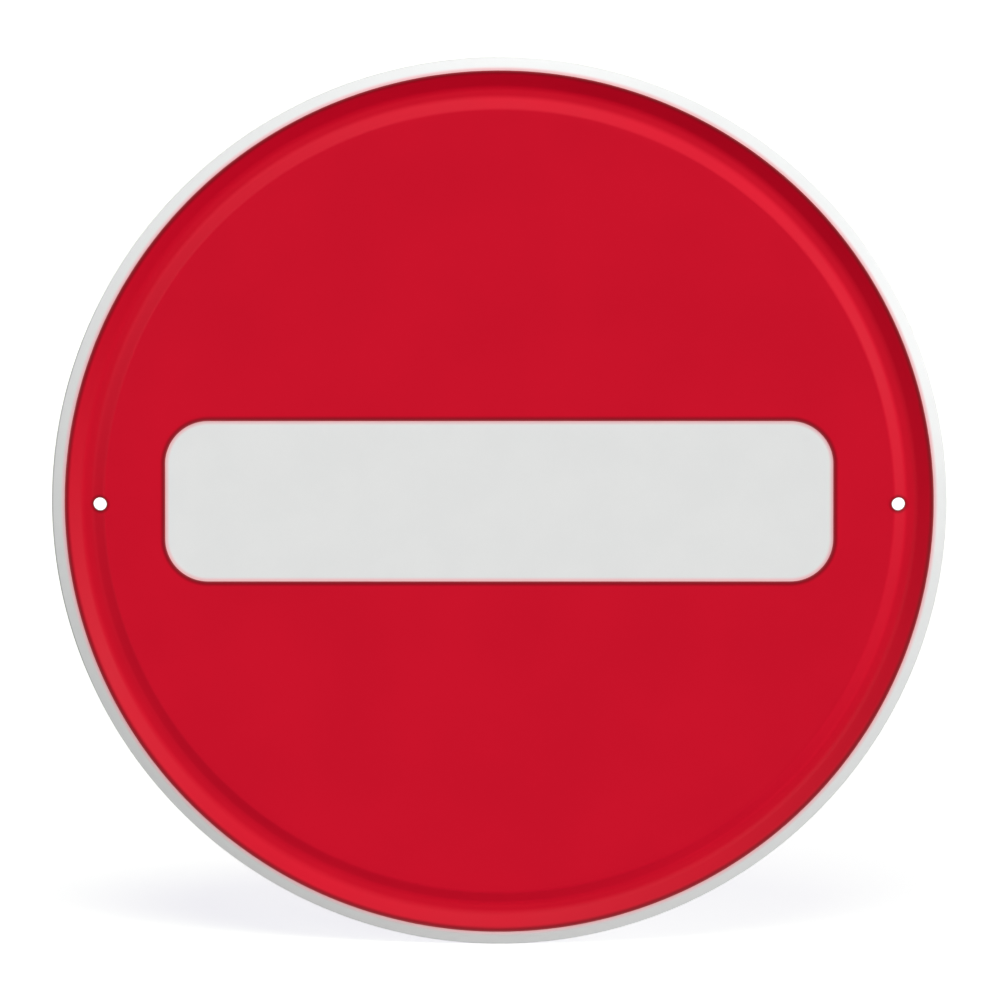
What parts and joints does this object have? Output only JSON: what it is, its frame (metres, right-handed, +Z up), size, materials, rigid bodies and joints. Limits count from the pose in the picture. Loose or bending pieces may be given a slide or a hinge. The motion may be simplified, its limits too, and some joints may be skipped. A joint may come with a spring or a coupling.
{
  "type": "no entry sign",
  "caption": "Round pressed metal no entry sign: white bar on a red field with a white border, a ring groove inside the rim and screw holes left and right.",
  "frame": {"origin": "centre of the disc, in the plane of the wall that the back of the pressed groove seats on", "axes": "the face looks along -Y, the wall is on the +Y side, X runs to the right seen from the front, +Z is up"},
  "size_m": [0.3, 0.004, 0.3],
  "materials": {
    "white_sheet": "satin",
    "red_film": "satin"
  },
  "bodies": {
    "root": {"sign_plate": "white_sheet", "red_film": "red_film"}
  },
  "joints": []
}
